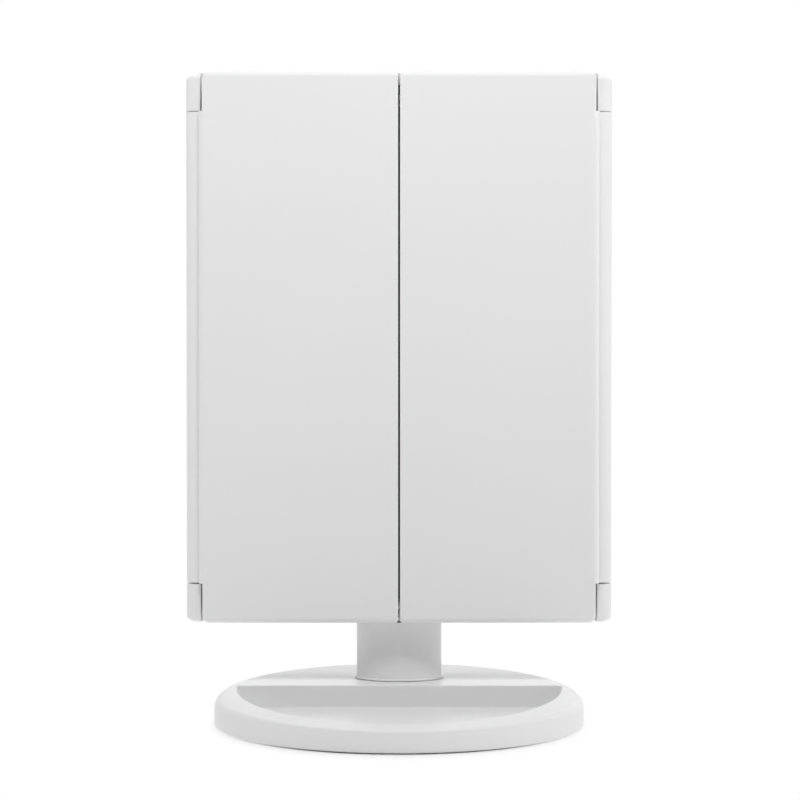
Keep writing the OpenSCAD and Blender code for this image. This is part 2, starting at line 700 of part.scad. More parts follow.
module cover_screws() color(steel) for (p = cover_spots) {
    rod_y(p[0], p[1], floor_y0 + 1.2, body_y1 - cover_sink + 0.1, screw_r);
    rod_y(p[0], p[1], body_y1 - cover_sink, body_y1 - cover_sink + head_t, head_r);
}

module head_magnets() color(steel) for (side = [-1, 1])
    rod_y(side * magnet_x, magnet_z, floor_y1 + 0.05, floor_y1 + magnet_t, magnet_r);

module battery_cover() color([0.86, 0.86, 0.87]) difference() {
    box(-box_hw + seat, box_hw - seat, body_y1 - wall + 0.3, body_y1, box_z0 + seat, box_z0 + box_h - seat);
    // finger grip
    translate([0, body_y1 + 3, box_z0 + 6]) rotate([0, 90, 0]) translate([0, 0, -8]) cylinder(r = 4, h = 16);
}

module switch_knob() color([0.55, 0.56, 0.57]) {
    x = -outlet_x - switch_travel / 2;
    box(x - 2, x + 2, body_y1 - 3, body_y1 + 0.6, outlet_z - 2, outlet_z + 2);
}

// ---- Doors, drawn for the right side ----

function door_ring(inset, y) = upright(soft_rect(door_gap / 2 + min(inset, 0.5), door_x - inset,
    panel_z + inset, panel_top - inset, door_r + 1.0 - inset * 0.9, door_r + 1.0 - inset * 0.9), y);

module door_shell() difference() {
    union() {
        loft([
            door_ring(0, door_y1),
            for (turn = [0, 22, 45, 68, 90])
                door_ring(door_r * (1 - cos(turn)), face_y + door_r * (1 - sin(turn)))
        ]);
        at_hinge(1, barrel_z0) cylinder(r = hinge_r, h = barrel_z1 - barrel_z0);
    }
    // rounded corners beside the corner caps
    for (end = [[panel_z, panel_z - 1, 1], [panel_top, panel_top - door_corner, -1]])
        slab(face_y - 1, axis_y) difference() {
            translate([cap_x - door_corner, end[1]]) square([door_corner + 1, door_corner + 1]);
            translate([cap_x - door_corner, end[0] + end[2] * door_corner]) circle(door_corner);
        }
    // room for the corner caps
    for (z = [panel_z - 1, barrel_z1]) {
        box(cap_x, door_x + 5, face_y - 1, axis_y + hinge_r + 1, z, z + cap_h + cap_gap + 1);
        at_hinge(1, z) cylinder(r = hinge_r + 0.6, h = cap_h + cap_gap + 1);
    }
    box(hollow_x0, hollow_x1, face_y + door_wall, axis_y + 1, hollow_z0, hollow_z1);
    for (z = [barrel_z0 - 1, barrel_z1 - pin_l / 2 - 1])
        at_hinge(1, z) cylinder(r = bush_r + fit, h = pin_l / 2 + 2);
}

module door_bushes() for (z = [barrel_z0, barrel_z1 - pin_l / 2]) at_hinge(1, z) difference() {
    cylinder(r = bush_r, h = pin_l / 2);
    translate([0, 0, -1]) cylinder(r = pin_r + fit, h = pin_l);
}

// The inner frame, with a window for each [low, high] pair of heights
module door_frame(windows) difference() {
    box(hollow_x0 + seat, hollow_x1 - seat, bezel_y0, door_y1, hollow_z0 + seat, hollow_z1 - seat);
    for (w = windows)
        box(hollow_x0 + bezel - seat, hollow_x1 - bezel + seat, bezel_floor, door_y1 + 1,
            w[0] - seat, w[1] + seat);
    for (w = windows)
        box(hollow_x0 + bezel + 12, hollow_x1 - bezel - 8, bezel_y0 - 1, bezel_floor + 1,
            w[0] + 12, w[1] - 12);
}

module door_glass(w) box(hollow_x0 + bezel, hollow_x1 - bezel, bezel_floor + 0.05, door_y1, w[0], w[1]);

module door_magnet() rod_y(magnet_x, magnet_z, bezel_y0 - magnet_t, bezel_y0 - 0.05, magnet_r);

pane_z0 = hollow_z0 + bezel;
pane_z1 = hollow_z1 - bezel;
split_z = pane_z0 + (pane_z1 - pane_z0) * split;
lower_pane = [pane_z0, split_z - bezel / 2];
upper_pane = [split_z + bezel / 2, pane_z1];
whole_pane = [pane_z0, pane_z1];

module left_door_shell() color(shell_white) mirror([1, 0, 0]) door_shell();
module left_door_frame() color(shell_white) mirror([1, 0, 0]) door_frame([lower_pane, upper_pane]);
module left_upper_mirror() color(glass_grey) mirror([1, 0, 0]) door_glass(upper_pane);
module left_lower_mirror() color(glass_grey) mirror([1, 0, 0]) door_glass(lower_pane);
module left_door_bushes() color([0.85, 0.82, 0.70]) mirror([1, 0, 0]) door_bushes();
module left_door_magnet() color(steel) mirror([1, 0, 0]) door_magnet();
module right_door_shell() color(shell_white) door_shell();
module right_door_frame() color(shell_white) door_frame([whole_pane]);
module right_door_mirror() color(glass_grey) door_glass(whole_pane);
module right_door_bushes() color([0.85, 0.82, 0.70]) door_bushes();
module right_door_magnet() color(steel) door_magnet();

base_tray();
base_plate();
base_ballast();
base_feet();
base_screws();
neck_core();
neck_front_shell();
neck_rear_shell();
neck_screws();
neck_foot_screws();
tilt_shaft();
tilt_washers();
tilt_nuts();
front_frame();
rear_cover();
centre_mirror();
led_windows();
led_board_left();
led_board_right();
led_board_top();
leds();
touch_pad();
control_board();
control_chips();
usb_board();
usb_socket();
switch_body();
battery_box();
batteries();
battery_contacts();
hinge_pins();
tilt_brackets();
bracket_screws();
cover_screws();
head_magnets();
left_door_shell();
left_door_frame();
left_upper_mirror();
left_lower_mirror();
left_door_bushes();
left_door_magnet();
right_door_shell();
right_door_frame();
right_door_mirror();
right_door_bushes();
right_door_magnet();
battery_cover();
switch_knob();
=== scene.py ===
import math

import bmesh
import bpy
import numpy as np
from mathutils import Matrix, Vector


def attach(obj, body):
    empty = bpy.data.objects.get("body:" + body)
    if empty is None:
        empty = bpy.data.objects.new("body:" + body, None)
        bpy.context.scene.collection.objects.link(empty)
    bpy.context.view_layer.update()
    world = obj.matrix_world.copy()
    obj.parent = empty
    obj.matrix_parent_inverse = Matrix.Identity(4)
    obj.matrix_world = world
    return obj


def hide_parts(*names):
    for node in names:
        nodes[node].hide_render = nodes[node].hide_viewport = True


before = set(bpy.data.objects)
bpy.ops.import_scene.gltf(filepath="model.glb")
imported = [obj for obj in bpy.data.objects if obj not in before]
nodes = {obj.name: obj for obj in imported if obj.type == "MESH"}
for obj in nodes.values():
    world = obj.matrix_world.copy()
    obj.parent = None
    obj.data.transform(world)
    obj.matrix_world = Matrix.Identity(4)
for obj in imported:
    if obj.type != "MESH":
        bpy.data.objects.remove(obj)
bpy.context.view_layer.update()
mm = 0.001
print("frame loaded,", len(nodes), "nodes")


# ---- materials: sockets that can be added and multiplied like numbers ----
class Wire:
    def __init__(self, tree, socket):
        self.tree, self.socket = tree, socket

    def calc(self, operation, *values, clamp=False):
        node = self.tree.nodes.new("ShaderNodeMath")
        node.operation, node.use_clamp = operation, clamp
        for plug, value in zip(node.inputs, values):
            if isinstance(value, Wire):
                self.tree.links.new(value.socket, plug)
            else:
                plug.default_value = value
        return Wire(self.tree, node.outputs[0])

    def __add__(self, other):
        return self.calc("ADD", self, other)

    def __radd__(self, other):
        return self.calc("ADD", other, self)

    def __sub__(self, other):
        return self.calc("SUBTRACT", self, other)

    def __rsub__(self, other):
        return self.calc("SUBTRACT", other, self)

    def __mul__(self, other):
        return self.calc("MULTIPLY", self, other)

    def __rmul__(self, other):
        return self.calc("MULTIPLY", other, self)

    def __truediv__(self, other):
        return self.calc("DIVIDE", self, other)

    def __rtruediv__(self, other):
        return self.calc("DIVIDE", other, self)

    def __pow__(self, other):
        return self.calc("POWER", self, other)

    def __abs__(self):
        return self.calc("ABSOLUTE", self)

    def fraction(self):
        return self.calc("FRACT", self)

    def above(self, edge, soft):  # 0 below the edge, 1 above it, with a soft step between
        return self.calc("ADD", (self - edge) / soft, 0.5, clamp=True)

    def below(self, edge, soft):
        return self.calc("ADD", (edge - self) / soft, 0.5, clamp=True)

    def clamped(self):
        return self.calc("ADD", self, 0.0, clamp=True)


# A material: its nodes, the skin that they feed, and Object coordinates to work from
class Shade:
    def __init__(self, name):
        self.material = bpy.data.materials.new(name)
        self.material.use_nodes = True
        self.tree = self.material.node_tree
        self.tree.nodes.clear()
        self.out = self.tree.nodes.new("ShaderNodeOutputMaterial")
        self.skin = self.tree.nodes.new("ShaderNodeBsdfPrincipled")
        self.tree.links.new(self.skin.outputs[0], self.out.inputs[0])
        spot = self.tree.nodes.new("ShaderNodeTexCoord")
        self.place = Wire(self.tree, spot.outputs["Object"])
        self.facing = Wire(self.tree, spot.outputs["Normal"])

    def plug(self, socket, value):
        if isinstance(value, Wire):
            self.tree.links.new(value.socket, socket)
        else:
            socket.default_value = value

    def node(self, kind, settings, inputs, output=0):
        node = self.tree.nodes.new(kind)
        for key, value in settings.items():
            setattr(node, key, value)
        for key, value in inputs.items():
            self.plug(node.inputs[key], value)
        return Wire(self.tree, node.outputs[output])

    def set(self, **values):  # underscores stand for spaces in the names of the sockets
        for key, value in values.items():
            self.plug(self.skin.inputs[key.replace("_", " ")], value)

    def noise(self, scale, detail=3.0, rough=0.5, place=None):
        inputs = {"Vector": place or self.place, "Scale": scale, "Detail": detail, "Roughness": rough}
        return self.node("ShaderNodeTexNoise", {}, inputs)

    def stripes(self, axis, scale):
        inputs = {"Vector": self.place, "Scale": scale, "Distortion": 0.4}
        return self.node("ShaderNodeTexWave", {"bands_direction": axis}, inputs)

    def stretched(self, x, y, z):
        return self.node("ShaderNodeVectorMath", {"operation": "MULTIPLY"}, {0: self.place, 1: (x, y, z)})

    def axes(self, vector=None):
        split = self.tree.nodes.new("ShaderNodeSeparateXYZ")
        self.plug(split.inputs[0], vector or self.place)
        return [Wire(self.tree, s) for s in split.outputs]

    def blend(self, share, first, second):  # colours, by share
        return self.node("ShaderNodeMix", {"data_type": "RGBA"}, {0: share, 6: first, 7: second}, 2)

    def bump(self, height, strength, distance):
        inputs = {"Height": height, "Strength": strength, "Distance": distance}
        self.set(Normal=self.node("ShaderNodeBump", {}, inputs))


# A colour times a factor, with the fourth channel that sockets want
def paint(colour, factor=1.0):
    return (colour[0] * factor, colour[1] * factor, colour[2] * factor, 1.0)


plastic = {
    "shell": dict(colour=(0.86, 0.86, 0.863), rough=0.34, grain=0.10, peel=0.10),
    "inner_plastic": dict(colour=(0.62, 0.62, 0.61), rough=0.50, grain=0.30, peel=0.05),
    "bush": dict(colour=(0.78, 0.75, 0.66), rough=0.42, grain=0.12, peel=0.08),
    "chip": dict(colour=(0.030, 0.030, 0.033), rough=0.48, grain=0.35, peel=0.05),
    "knob": dict(colour=(0.30, 0.31, 0.32), rough=0.40, grain=0.25, peel=0.05),
}


# Moulded plastic: a fine grain, a slight orange peel, faint cloudiness, and the odd smudge that changes
# the gloss
def mouldedPlastic(name):
    p = plastic[name]
    s = Shade(name)
    cloud = s.noise(14, 2)
    smudge = s.noise(70, 4, 0.6).above(0.62, 0.2)
    peel = s.noise(620, 1)
    grain = s.noise(3800, 2)
    tone = s.blend(cloud, paint(p["colour"], 0.985), paint(p["colour"], 1.01))
    s.set(
        Base_Color=s.blend(grain.above(0.66, 0.1) * 0.5, tone, paint(p["colour"], 0.965)),
        Roughness=p["rough"] + (cloud - 0.5) * 0.02 + smudge * 0.02 + (grain - 0.5) * 0.04,
        IOR=1.49,
        Coat_Roughness=0.1,
    )
    s.bump(peel * p["peel"] + grain * p["grain"], 0.25, 0.00012)
    return s.material


glass = dict(
    silver=(0.90, 0.915, 0.91), wiped=(0.935, 0.945, 0.94), edge=(0.42, 0.55, 0.50),
    rough=0.012, edgeRough=0.15,
)


# Silvered glass: the face mirrors, the cut edge is pale green, and a film of dust and wiping marks dulls
# it a little
def silveredGlass(name):
    s = Shade(name)
    across = s.axes(s.facing)[1]
    face = abs(across).above(0.7, 0.1)
    wipes = s.noise(30, 5, 0.65, s.stretched(1.0, 1.0, 3.5))
    dust = s.noise(2400, 1).above(0.74, 0.06)
    silver = s.blend(wipes, paint(glass["silver"]), paint(glass["wiped"]))
    smear = glass["rough"] + wipes.above(0.55, 0.3) * 0.02
    s.set(
        Base_Color=s.blend(face, paint(glass["edge"]), silver),
        Metallic=face * (1 - dust * 0.25),
        Roughness=smear + (1 - face) * glass["edgeRough"] + dust * 0.1,
    )
    s.bump(wipes, 0.01, 0.0001)
    return s.material


lens = dict(low=(0.80, 0.795, 0.765), high=(0.87, 0.865, 0.84), rough=0.42, depth=0.002)


# Frosted lens of a light: milky, with a fine frost and a haze in its colour
def frostedLens(name):
    s = Shade(name)
    frost = s.noise(5200, 2)
    haze = s.noise(260, 3)
    s.set(
        Base_Color=s.blend(haze, paint(lens["low"]), paint(lens["high"])),
        Roughness=lens["rough"] + (frost - 0.5) * 0.2,
        Subsurface_Weight=0.25,
        Subsurface_Scale=lens["depth"],
    )
    s.bump(frost, 0.3, 0.00015)
    return s.material


plating = dict(bright=(0.60, 0.60, 0.61), dull=(0.48, 0.47, 0.46), rough=0.24)


# Plated steel: drawn lines along X, small pits and a darker film in patches
def platedSteel(name):
    s = Shade(name)
    lines = s.noise(900, 2, 0.5, s.stretched(0.04, 1.0, 1.0))
    film = s.noise(120, 4, 0.6)
    pits = s.noise(2600, 1).above(0.72, 0.08)
    s.set(
        Base_Color=s.blend(film.above(0.55, 0.4), paint(plating["bright"]), paint(plating["dull"])),
        Metallic=1.0 - pits * 0.2,
        Roughness=plating["rough"] + lines * 0.12 + film * 0.1 + pits * 0.15,
    )
    s.bump(lines * 0.7 - pits * 0.3, 0.15, 0.0001)
    return s.material


board = dict(
    low=(0.012, 0.075, 0.030), high=(0.018, 0.100, 0.040), track=(0.045, 0.190, 0.070),
    weave=600.0, pitch=420, share=0.28, rough=0.32,
)


# Circuit board: glass cloth under green lacquer, with tracks that run in X and Z
def circuitBoard(name):
    s = Shade(name)
    x, _, z = s.axes()
    weave = s.stripes("X", board["weave"]) * s.stripes("Z", board["weave"])
    step = s.noise(90, 0)
    alongX = (z * board["pitch"] + step * 3).fraction().below(board["share"], 0.06)
    alongZ = (x * board["pitch"] + step * 3).fraction().below(board["share"], 0.06)
    tracks = s.node("ShaderNodeMix", {"data_type": "FLOAT"}, {0: step.above(0.5, 0.02), 2: alongX, 3: alongZ})
    ground = s.blend(weave, paint(board["low"]), paint(board["high"]))
    s.set(
        Base_Color=s.blend(tracks, ground, paint(board["track"])),
        Roughness=board["rough"] + weave * 0.08 - tracks * 0.05,
    )
    s.bump(tracks + weave * 0.2, 0.3, 0.00006)
    return s.material


emitter = dict(low=(0.80, 0.62, 0.10), high=(0.90, 0.78, 0.30), rough=0.35)


# Light emitter: grainy yellow phosphor
def phosphor(name):
    s = Shade(name)
    grains = s.noise(5200, 2)
    cloud = s.noise(700, 2)
    s.set(
        Base_Color=s.blend(grains, paint(emitter["low"]), paint(emitter["high"])),
        Roughness=emitter["rough"] + cloud * 0.2,
    )
    s.bump(grains, 0.2, 0.00005)
    return s.material


copper = dict(bright=(0.72, 0.40, 0.25), stained=(0.42, 0.22, 0.13), rough=0.28)


# Copper sensor: dull, with brown stains and a fine mesh of scratches
def copperPad(name):
    s = Shade(name)
    stain = s.noise(200, 4, 0.6)
    lines = s.noise(1500, 2, 0.5, s.stretched(1.0, 1.0, 0.06))
    s.set(
        Base_Color=s.blend(stain.above(0.5, 0.5), paint(copper["bright"]), paint(copper["stained"])),
        Metallic=1.0 - stain * 0.15,
        Roughness=copper["rough"] + stain * 0.25,
    )
    s.bump(lines, 0.15, 0.00008)
    return s.material


rubber = dict(clean=(0.045, 0.045, 0.048), dusty=(0.13, 0.125, 0.12), rough=0.72)


# Rubber foot: matte, with dust and tiny pores
def rubberPad(name):
    s = Shade(name)
    pores = s.node("ShaderNodeTexVoronoi", {}, {"Vector": s.place, "Scale": 1400.0})
    dust = s.noise(260, 4, 0.6).above(0.6, 0.3)
    s.set(
        Base_Color=s.blend(dust * 0.5, paint(rubber["clean"]), paint(rubber["dusty"])),
        Roughness=rubber["rough"] + dust * 0.15,
    )
    s.bump(pores, 0.3, 0.00015)
    return s.material


sleeve = dict(
    low=0.111, high=0.1618, lowBare=0.0013, highBare=0.0022, band=0.148, rough=0.30,
    body=(0.030, 0.060, 0.050), top=(0.42, 0.33, 0.16), metal=(0.62, 0.61, 0.60),
)


# Battery: a sleeve in two colours, that change at the height of the band, with bare metal at its ends
def batterySleeve(name):
    p = sleeve
    s = Shade(name)
    z = s.axes()[2]
    bare = (z.below(p["low"] + p["lowBare"], 0.0003) + z.above(p["high"] - p["highBare"], 0.0003)).clamped()
    wrinkle = s.noise(500, 3, 0.6, s.stretched(1.0, 1.0, 0.2))
    printed = s.blend(z.above(p["band"], 0.0004), paint(p["body"]), paint(p["top"]))
    s.set(
        Base_Color=s.blend(bare, printed, paint(p["metal"])),
        Metallic=bare,
        Roughness=p["rough"] + wrinkle * 0.12,
    )
    s.bump(wrinkle, 0.12, 0.0002)
    return s.material


makers = {
    "mirror_glass": silveredGlass,
    "lens": frostedLens,
    "steel": platedSteel,
    "board": circuitBoard,
    "emitter": phosphor,
    "copper": copperPad,
    "pad": rubberPad,
    "cell": batterySleeve,
}
materials = {name: mouldedPlastic(name) for name in plastic}
materials.update({name: make(name) for name, make in makers.items()})
print("materials made,", len(materials))

# ---- meshes ----
meshing = dict(pole=1e-4, weld=2e-7, sharpDeg=34)  # pole in millimetres, weld in metres


# Each shell is a stack of closed rings, rings x points x 3, in millimetres. Its sides join ring to ring,
# and its first and last rings are filled; a ring whose points are all one point closes to a pole.
def makePiece(name, shells, materialName, body, stoodFor):
    points, faces, start = [], [], 0
    for rings in shells:
        count, size = rings.shape[:2]
        i, j = np.meshgrid(np.arange(count - 1), np.arange(size), indexing="ij")
        a, b = i * size + j, i * size + (j + 1) % size
        faces += (np.stack([a, b, b + size, a + size], -1).reshape(-1, 4) + start).tolist()
        for row in (0, count - 1):
            if np.ptp(rings[row], axis=0).max() > meshing["pole"]:
                faces.append((start + row * size + np.arange(size)).tolist())
        points.append(rings.reshape(-1, 3))
        start += count * size
    mesh = bpy.data.meshes.new(name)
    mesh.from_pydata((np.concatenate(points) * mm).tolist(), [], faces)
    work = bmesh.new()
    work.from_mesh(mesh)
    bmesh.ops.remove_doubles(work, verts=work.verts, dist=meshing["weld"])
    bmesh.ops.recalc_face_normals(work, faces=work.faces)
    work.to_mesh(mesh)
    work.free()
    mesh.shade_smooth()
    mesh.set_sharp_from_angle(angle=math.radians(meshing["sharpDeg"]))
    mesh.materials.append(materials[materialName])
    piece = bpy.data.objects.new(name, mesh)
    bpy.context.scene.collection.objects.link(piece)
    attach(piece, body)
    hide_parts(*stoodFor)
    print(name, "made,", len(mesh.polygons), "faces")


# How far an edge rounded to radius r has drawn back at depth d under the face beside it:
# r - sqrt(r2 - (r - d)2)
def drawnBack(r, d):
    d = np.clip(d, 0, r)
    return r - np.sqrt(np.maximum(r * r - (r - d) ** 2, 0))


base = dict(
    a=76.5, b=60.0, height=12.4, slope=3.0, frontR=1.1, sideR=4.8, sideFrom=0.8, skirt=0.45, footR=0.8,
    wall=2.4, plate=2.1, trayHw=68.5, trayD=63.0, trayBack=14.0, trayFloor=3.8, backCorner=1.3, rimR=0.5,
    filletR=0.6, middle=(0.0, -12.0), frontSteps=129, cornerSteps=10, backSteps=25,
)


# Height of the sloping deck above the table
def deckHeight(y):
    return base["height"] + y * math.tan(math.radians(base["slope"]))


# Half an ellipse in front and a straight line behind, joined by round corners: points and outward directions
def trayOutline():
    p = base
    low = math.asin(p["backCorner"] / p["trayD"])
    t = np.linspace(-low, low - math.pi, p["frontSteps"])
    front = np.stack([p["trayHw"] * np.cos(t), p["trayBack"] + p["trayD"] * np.sin(t)], -1)
    centreX, centreY = front[0, 0] - p["backCorner"], p["trayBack"] - p["backCorner"]
    t = np.linspace(0, math.pi / 2, p["cornerSteps"])
    turn = np.stack([centreX + p["backCorner"] * np.cos(t), centreY + p["backCorner"] * np.sin(t)], -1)
    back = np.linspace(turn[-1, 0], -turn[-1, 0], p["backSteps"] + 2)[1:-1]
    line = np.stack([back, np.full(len(back), p["trayBack"])], -1)
    left = turn[::-1] * [-1, 1]
    ring = np.concatenate([turn[1:], line, left[:-1], front[::-1]])  # anticlockwise from the right corner
    ahead = np.roll(ring, -1, 0) - np.roll(ring, 1, 0)
    out = np.stack([ahead[:, 1], -ahead[:, 0]], -1)
    return ring, out / np.linalg.norm(out, axis=1)[:, None]


# The base: from the skirt up the wall, round the shoulder, over the deck, down the tray's wall and over
# its floor. Every ring has a point on each line that runs from the tray's middle through a point of its
# outline.
def baseShell():
    p = base
    ring, out = trayOutline()
    middle = np.array(p["middle"])
    aim = ring - middle
    size = np.array([p["a"], p["b"]])
    # the lines meet the base's ellipse where a t2 + 2 b t + c = 0
    a, b, c = ((aim / size) ** 2).sum(1), (aim * middle / size**2).sum(1), ((middle / size) ** 2).sum() - 1
    hit = middle + aim * ((-b + np.sqrt(b * b - a * c)) / a)[:, None]
    turn = np.arctan2(hit[:, 1] / p["b"], hit[:, 0] / p["a"])
    share = np.clip(1 + np.sin(turn) / p["sideFrom"], 0, 1)
    shoulder = p["frontR"] + (p["sideR"] - p["frontR"]) * share**2 * (3 - 2 * share)
    flat = np.zeros(len(ring))

    def rim(inset, z):
        return np.stack([(p["a"] - inset) * np.cos(turn), (p["b"] - inset) * np.sin(turn), z + flat], -1)

    rings = [np.stack([flat, flat, flat + p["plate"]], -1)]
    rings += [rim(p["wall"], p["plate"]), rim(p["wall"], p["skirt"])]
    for t in np.radians([0, 30, 60, 90]):
        rings.append(rim(p["footR"] * (1 - np.sin(t)), p["skirt"] + p["footR"] * (1 - np.cos(t))))
    for t in np.radians(np.linspace(0, 90, 13)):
        inset = shoulder * (1 - np.cos(t))
        rings.append(rim(inset, deckHeight((p["b"] - inset) * np.sin(turn)) - shoulder * (1 - np.sin(t))))
    top = rings[-1][:, :2]
    brink = ring + out * p["rimR"]
    for s in (0.04, 0.5, 0.96):
        xy = top + (brink - top) * s
        rings.append(np.column_stack([xy, deckHeight(xy[:, 1])]))
    for t in np.radians([0, 22, 45, 68, 90]):
        xy = ring + out * p["rimR"] * (1 - np.sin(t))
        rings.append(np.column_stack([xy, deckHeight(xy[:, 1]) - p["rimR"] * (1 - np.cos(t))]))
    for t in np.radians([0, 18, 36, 54, 72, 90]):
        xy = ring - out * p["filletR"] * (1 - np.cos(t))
        rings.append(np.column_stack([xy, p["trayFloor"] + p["filletR"] * (1 - np.sin(t)) + flat]))
    foot = rings[-1][:, :2]
    for s in (0.02, 0.1, 0.3, 0.6, 1.0):
        rings.append(np.column_stack([foot + (middle - foot) * s, flat + p["trayFloor"]]))
    return np.array(rings)


makePiece("base_shell", [baseShell()], "shell", "base", ["base_tray"])

neck = dict(
    hw=18.25, hd=8.25, y=29.25, top=38.6, wall=2.0, flare=0.7, flareH=0.8, lip=0.4, gap=0.25, seam=0.03,
    seamPull=0.105, seamDeg=3.5, level=(4.0, 25.0), lidY=3.3,
)


# Half of the neck's oval tube: its outer and inner half ellipses make the ring, and rings rise from the
# sloping deck to the level top. Near the deck the outer one widens in a hollow curve, and at the top the
# front half's inner one closes in to the core.
def neckHalf(side):
    p = neck
    level, end = p["level"]
    edge = np.array([86.5, 88.4, 89.4, 90])
    t = np.radians(np.concatenate([-edge[::-1], np.linspace(-82, 82, 49), edge]))
    inner = np.radians(np.linspace(90, -90, 25))
    pull = p["seamPull"] * np.clip(1 - (90 - np.abs(np.degrees(t))) / p["seamDeg"], 0, 1) ** 2
    hollow = p["lip"] + p["flareH"] * np.array([0.08, 0.2, 0.38, 0.6, 0.8, 1.0])
    rise = [(h, False) for h in (0, p["lip"], *hollow, level, 10, 18, end - p["wall"])]
    rings = []
    for h, lid in rise + [(end - p["wall"], True), (end, True)]:
        q = np.clip((h - p["lip"]) / p["flareH"], 0, 1)
        grow = p["flare"] * (1 - math.sqrt(1 - (1 - q) ** 2))
        room = np.minimum((p["hd"] - p["wall"]) * np.cos(inner), p["lidY"] if lid and side < 0 else p["hd"])
        x = np.concatenate([(p["hw"] + grow - pull) * np.sin(t), (p["hw"] - p["wall"]) * np.sin(inner)])
        y = p["y"] + side * (np.concatenate([(p["hd"] + grow) * np.cos(t), room]) + p["seam"])
        share = np.clip((h - level) / (end - level), 0, 1)
        low = deckHeight(y) + p["gap"] + h
        rings.append(np.stack([x, y, low * (1 - share) + p["top"] * share], -1))
    return np.array(rings)


makePiece("neck_front", [neckHalf(-1)], "shell", "base", ["neck_front_shell"])
makePiece("neck_back", [neckHalf(1)], "shell", "base", ["neck_rear_shell"])

core = dict(
    foot=(24.0, 9.5), footZ=(-8.7, -6.3), post=(12.25, 3.8), lug=(16.0, 5.0), lugLow=35.8, flareFrom=38.5,
    flareTo=41.5, flare=6.0, power=12.0, inset=0.35, axis=(31.0, 51.0), knuckleR=6.0, knuckleX=18.4,
    knuckleEdge=0.5,
)


# The neck's core, from below: a foot along the deck's slope, a post, and a lug up to the tilt axis. Each
# ring is a superellipse, |x/a|^n + |y/b|^n = 1. The lug keeps inside the neck's oval, and above it widens
# in an S-shaped curve.
def neckCore():
    p = core
    t = np.radians(np.arange(0, 360, 4.0) + 2)
    squareX = np.sign(np.cos(t)) * np.abs(np.cos(t)) ** (2 / p["power"])
    squareY = np.sign(np.sin(t)) * np.abs(np.sin(t)) ** (2 / p["power"])
    flat = np.zeros(len(t))
    rings = []
    for half, z in ((p["foot"], p["footZ"][0]), (p["foot"], p["footZ"][1]), (p["post"], p["footZ"][1])):
        y = neck["y"] + half[1] * squareY
        rings.append(np.stack([half[0] * squareX, y, deckHeight(y) + z], -1))
    half = p["post"]
    rings.append(np.stack([half[0] * squareX, neck["y"] + half[1] * squareY, flat + p["lugLow"]], -1))
    y = p["axis"][0] + p["lug"][1] * squareY
    oval = (neck["hw"] - p["inset"]) * np.sqrt(1 - ((y - neck["y"]) / (neck["hd"] - p["inset"])) ** 2)
    for z in [p["lugLow"], *np.linspace(p["flareFrom"], p["flareTo"], 9), p["axis"][1]]:
        share = np.clip((z - p["flareFrom"]) / (p["flareTo"] - p["flareFrom"]), 0, 1)
        reach = oval + p["flare"] * share**2 * (3 - 2 * share)
        rings.append(np.stack([np.clip(p["lug"][0] * squareX, -reach, reach), y, flat + z], -1))
    return np.array(rings)


# The knuckle on the tilt axis: circles along X, smaller at the rounded edges
def neckKnuckle():
    p = core
    t = np.radians(np.arange(0, 360, 5.0))
    d = p["knuckleEdge"] * (1 - np.sin(np.radians([90, 70, 50, 30, 15, 0])))
    x = np.concatenate([-p["knuckleX"] + d, p["knuckleX"] - d[::-1]])
    r = p["knuckleR"] - drawnBack(p["knuckleEdge"], np.concatenate([d, d[::-1]]))
    y, z = p["axis"][0] + np.outer(r, np.cos(t)), p["axis"][1] + np.outer(r, np.sin(t))
    return np.stack([np.repeat(x[:, None], len(t), 1), y, z], -1)


makePiece("neck_lug", [neckCore(), neckKnuckle()], "shell", "base", ["neck_core"])

door = dict(
    gapX=0.4, sideX=84.3, capX=82.6, low=40.0, high=272.0, face=9.5, back=17.6, roundR=2.7, edgeR=0.6,
    capEdge=0.45, gapCorner=1.2, capCorner=2.5, hingeX=85.5, hingeY=18.0, barrelR=4.5, barrelEnd=16.8,
    barrelArc=(-104.0, 185.1), roomR=5.1, roomArc=(-124.6, -175.5), wallY=((13.1, 13.5), (13.1, 13.7)),
    hollowX=(2.2, 79.8), wall=1.8,
)


